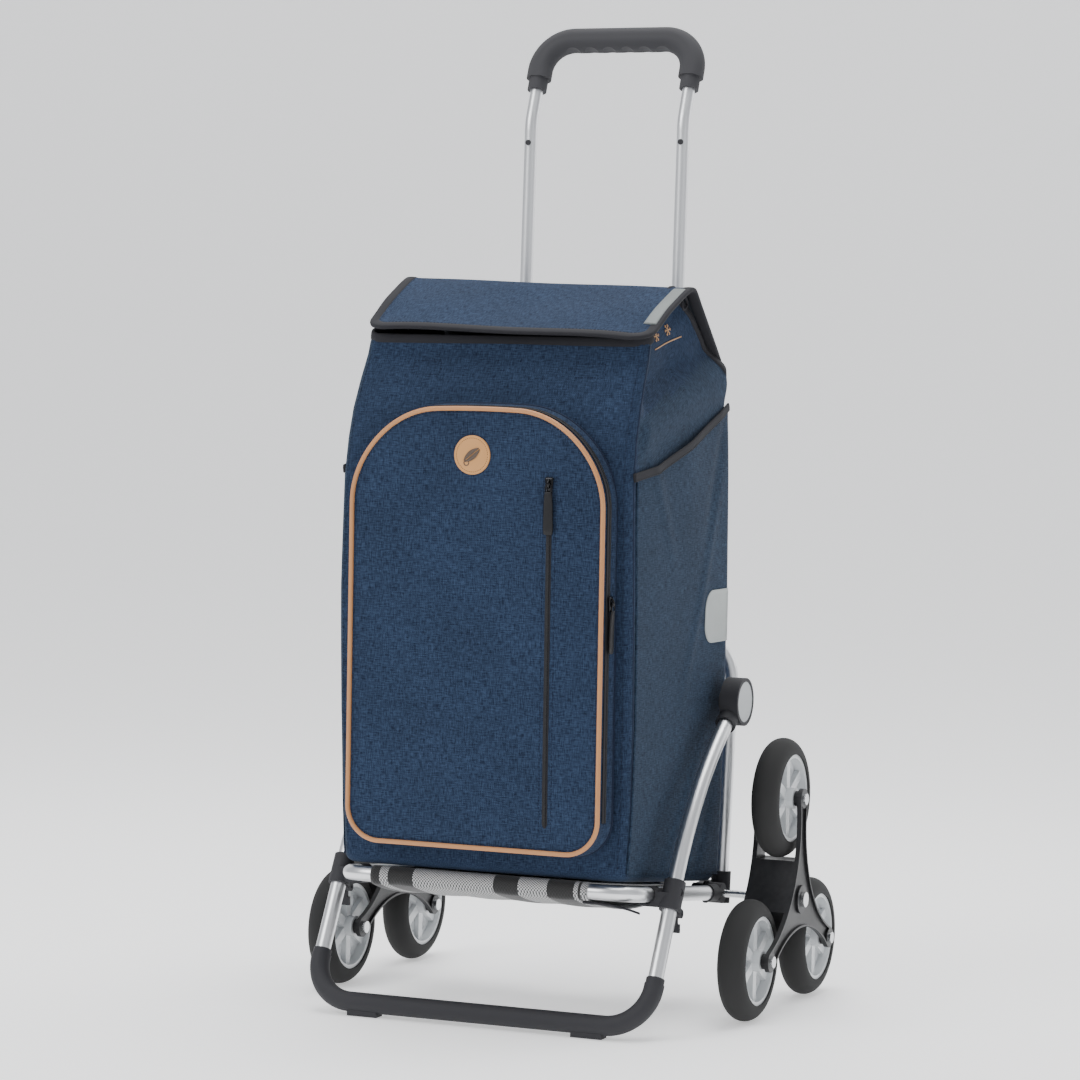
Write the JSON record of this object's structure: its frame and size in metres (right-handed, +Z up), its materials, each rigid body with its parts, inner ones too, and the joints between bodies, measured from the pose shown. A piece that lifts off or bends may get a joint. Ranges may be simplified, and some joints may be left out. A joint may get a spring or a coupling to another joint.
{
  "type": "folding shopping trolley",
  "caption": "Upright shopping bag with a lid and front pocket on a folding tube frame with a telescopic handle, a stand bow and three-wheel stair-climbing hubs.",
  "frame": {"origin": "middle of the footprint, on the floor the trolley stands on", "axes": "+X to the right as seen from the front pocket, +Y towards the handle side at the back, +Z up"},
  "size_m": [0.532, 0.4414, 1.0473],
  "materials": {
    "alu_tube": "satin anodised",
    "steel": "zinc plated",
    "black_moulding": "fine moulded grain",
    "grip_rubber": "soft matt",
    "cap_grey": "satin",
    "tyre_rubber": "smooth satin",
    "rim_plastic": "slightly clear",
    "blue_melange": "two-tone woven polyester",
    "black_webbing": "ribbed binding",
    "sling_weave": "striped elastic weave",
    "tan_leather": "smooth embossed",
    "reflective": "retroreflective",
    "zip_black": "gloss"
  },
  "bodies": {
    "back_frame": {"axle": "steel", "axle_fasteners": "steel", "uprights": "alu_tube", "back_hoop": "alu_tube", "cross_clamps": "black_moulding", "axle_blocks": "black_moulding", "hoop_brackets": "black_moulding", "hinge_arms": "black_moulding", "hinge_pins": "steel", "upright_collars": "black_moulding", "bag_body": "blue_melange", "front_pocket": "blue_melange", "side_pockets": "blue_melange", "zip_tapes": "zip_black", "leather_badge": "tan_leather", "reflectors": "reflective"},
    "handle": {"handle_tubes": "alu_tube", "grip": "grip_rubber"},
    "stand": {"stand_bow": "alu_tube", "hinge_sockets": "black_moulding", "hinge_caps": "cap_grey", "foot_cover": "black_moulding", "foot_pads": "black_moulding", "clips": "black_moulding"},
    "platform": {"platform_tube": "alu_tube", "platform_eyes": "black_moulding", "platform_collars": "black_moulding", "platform_crossbar": "steel", "sling": "sling_weave"},
    "lid": {"lid_panel": "blue_melange", "lid_binding": "black_webbing"},
    "front_zip_slider": {"front_zip_slider": "zip_black"},
    "front_zip_pull": {"front_zip_pull": "zip_black"},
    "side_zip_slider": {"side_zip_slider": "zip_black"},
    "side_zip_pull": {"side_zip_pull": "zip_black"},
    "clamp_lever_l": {"clamp_lever_l": "black_moulding"},
    "stop_button_l": {"stop_button_l": "black_moulding"},
    "clip_lever_l": {"clip_lever_l": "black_moulding"},
    "spider_l": {"spider_l": "black_moulding", "spider_plate_l": "black_moulding", "spider_bolts_l": "steel"},
    "wheel_l1": {"tyre_l1": "tyre_rubber", "rim_l1": "rim_plastic"},
    "wheel_l2": {"tyre_l2": "tyre_rubber", "rim_l2": "rim_plastic"},
    "wheel_l3": {"tyre_l3": "tyre_rubber", "rim_l3": "rim_plastic"},
    "clamp_lever_r": {"clamp_lever_r": "black_moulding"},
    "stop_button_r": {"stop_button_r": "black_moulding"},
    "clip_lever_r": {"clip_lever_r": "black_moulding"},
    "spider_r": {"spider_r": "black_moulding", "spider_plate_r": "black_moulding", "spider_bolts_r": "steel"},
    "wheel_r1": {"tyre_r1": "tyre_rubber", "rim_r1": "rim_plastic"},
    "wheel_r2": {"tyre_r2": "tyre_rubber", "rim_r2": "rim_plastic"},
    "wheel_r3": {"tyre_r3": "tyre_rubber", "rim_r3": "rim_plastic"}
  },
  "joints": [
    {"name": "handle_slide", "type": "slide", "parent": "back_frame", "child": "handle", "axis": [0, -0.0384, -0.9993], "range_m": [0, 0.245]},
    {"name": "stand_fold", "type": "hinge", "parent": "back_frame", "child": "stand", "pos_m": [0, 0.04552, 0.3253], "axis": [1, 0, 0], "range_deg": [0, 40]},
    {"name": "platform_fold", "type": "hinge", "parent": "back_frame", "child": "platform", "pos_m": [0, 0.06417, 0.117], "axis": [-1, 0, 0], "range_deg": [0, 72], "deforming": ["bag_body", "front_pocket", "side_pockets", "zip_tapes", "leather_badge", "reflectors"]},
    {"name": "lid_flap", "type": "hinge", "parent": "back_frame", "child": "lid", "pos_m": [0, 0.07417, 0.67], "axis": [1, 0, 0], "range_deg": [-55, 0]},
    {"name": "front_zip_travel", "type": "slide", "parent": "back_frame", "child": "front_zip_slider", "axis": [0, 0, -1], "range_m": [0, 0.335]},
    {"name": "front_zip_pull_swing", "type": "hinge", "parent": "front_zip_slider", "child": "front_zip_pull", "pos_m": [0.082, -0.21913, 0.559], "axis": [-1, 0, 0], "range_deg": [0, 150]},
    {"name": "side_zip_travel", "type": "slide", "parent": "back_frame", "child": "side_zip_slider", "axis": [0, 0, 1], "range_m": [-0.18, 0.065]},
    {"name": "side_zip_pull_swing", "type": "hinge", "parent": "side_zip_slider", "child": "side_zip_pull", "pos_m": [0.1463, -0.20183, 0.441], "axis": [0, -1, 0], "range_deg": [0, 150]},
    {"name": "clamp_lever_l", "type": "hinge", "parent": "back_frame", "child": "clamp_lever_l", "pos_m": [-0.0895, 0.12195, 0.658], "axis": [1, 0, 0], "range_deg": [0, 95]},
    {"name": "stop_button_l", "type": "slide", "parent": "handle", "child": "stop_button_l", "axis": [0, 1, 0], "range_m": [0, 0.0014], "stiffness_N_per_m": 400, "springref_m": -0.002},
    {"name": "clip_lever_l", "type": "hinge", "parent": "stand", "child": "clip_lever_l", "pos_m": [-0.188, -0.11912, 0.12094], "axis": [1, 0, 0], "range_deg": [0, 35], "stiffness_Nm_per_rad": 0.05, "springref_deg": -17.19},
    {"name": "spider_turn_l", "type": "hinge", "parent": "back_frame", "child": "spider_l", "pos_m": [-0.2355, 0.06417, 0.117], "axis": [1, 0, 0], "continuous": true},
    {"name": "wheel_turn_l1", "type": "hinge", "parent": "spider_l", "child": "wheel_l1", "pos_m": [-0.2355, 0.06417, 0.224], "axis": [1, 0, 0], "continuous": true},
    {"name": "wheel_turn_l2", "type": "hinge", "parent": "spider_l", "child": "wheel_l2", "pos_m": [-0.2355, -0.0285, 0.0635], "axis": [1, 0, 0], "continuous": true},
    {"name": "wheel_turn_l3", "type": "hinge", "parent": "spider_l", "child": "wheel_l3", "pos_m": [-0.2355, 0.15683, 0.0635], "axis": [1, 0, 0], "continuous": true},
    {"name": "clamp_lever_r", "type": "hinge", "parent": "back_frame", "child": "clamp_lever_r", "pos_m": [0.0895, 0.12195, 0.658], "axis": [1, 0, 0], "range_deg": [0, 95]},
    {"name": "stop_button_r", "type": "slide", "parent": "handle", "child": "stop_button_r", "axis": [0, 1, 0], "range_m": [0, 0.0014], "stiffness_N_per_m": 400, "springref_m": -0.002},
    {"name": "clip_lever_r", "type": "hinge", "parent": "stand", "child": "clip_lever_r", "pos_m": [0.188, -0.11912, 0.12094], "axis": [1, 0, 0], "range_deg": [0, 35], "stiffness_Nm_per_rad": 0.05, "springref_deg": -17.19},
    {"name": "spider_turn_r", "type": "hinge", "parent": "back_frame", "child": "spider_r", "pos_m": [0.2355, 0.06417, 0.117], "axis": [1, 0, 0], "continuous": true},
    {"name": "wheel_turn_r1", "type": "hinge", "parent": "spider_r", "child": "wheel_r1", "pos_m": [0.2355, 0.06417, 0.224], "axis": [1, 0, 0], "continuous": true},
    {"name": "wheel_turn_r2", "type": "hinge", "parent": "spider_r", "child": "wheel_r2", "pos_m": [0.2355, -0.0285, 0.0635], "axis": [1, 0, 0], "continuous": true},
    {"name": "wheel_turn_r3", "type": "hinge", "parent": "spider_r", "child": "wheel_r3", "pos_m": [0.2355, 0.15683, 0.0635], "axis": [1, 0, 0], "continuous": true}
  ]
}
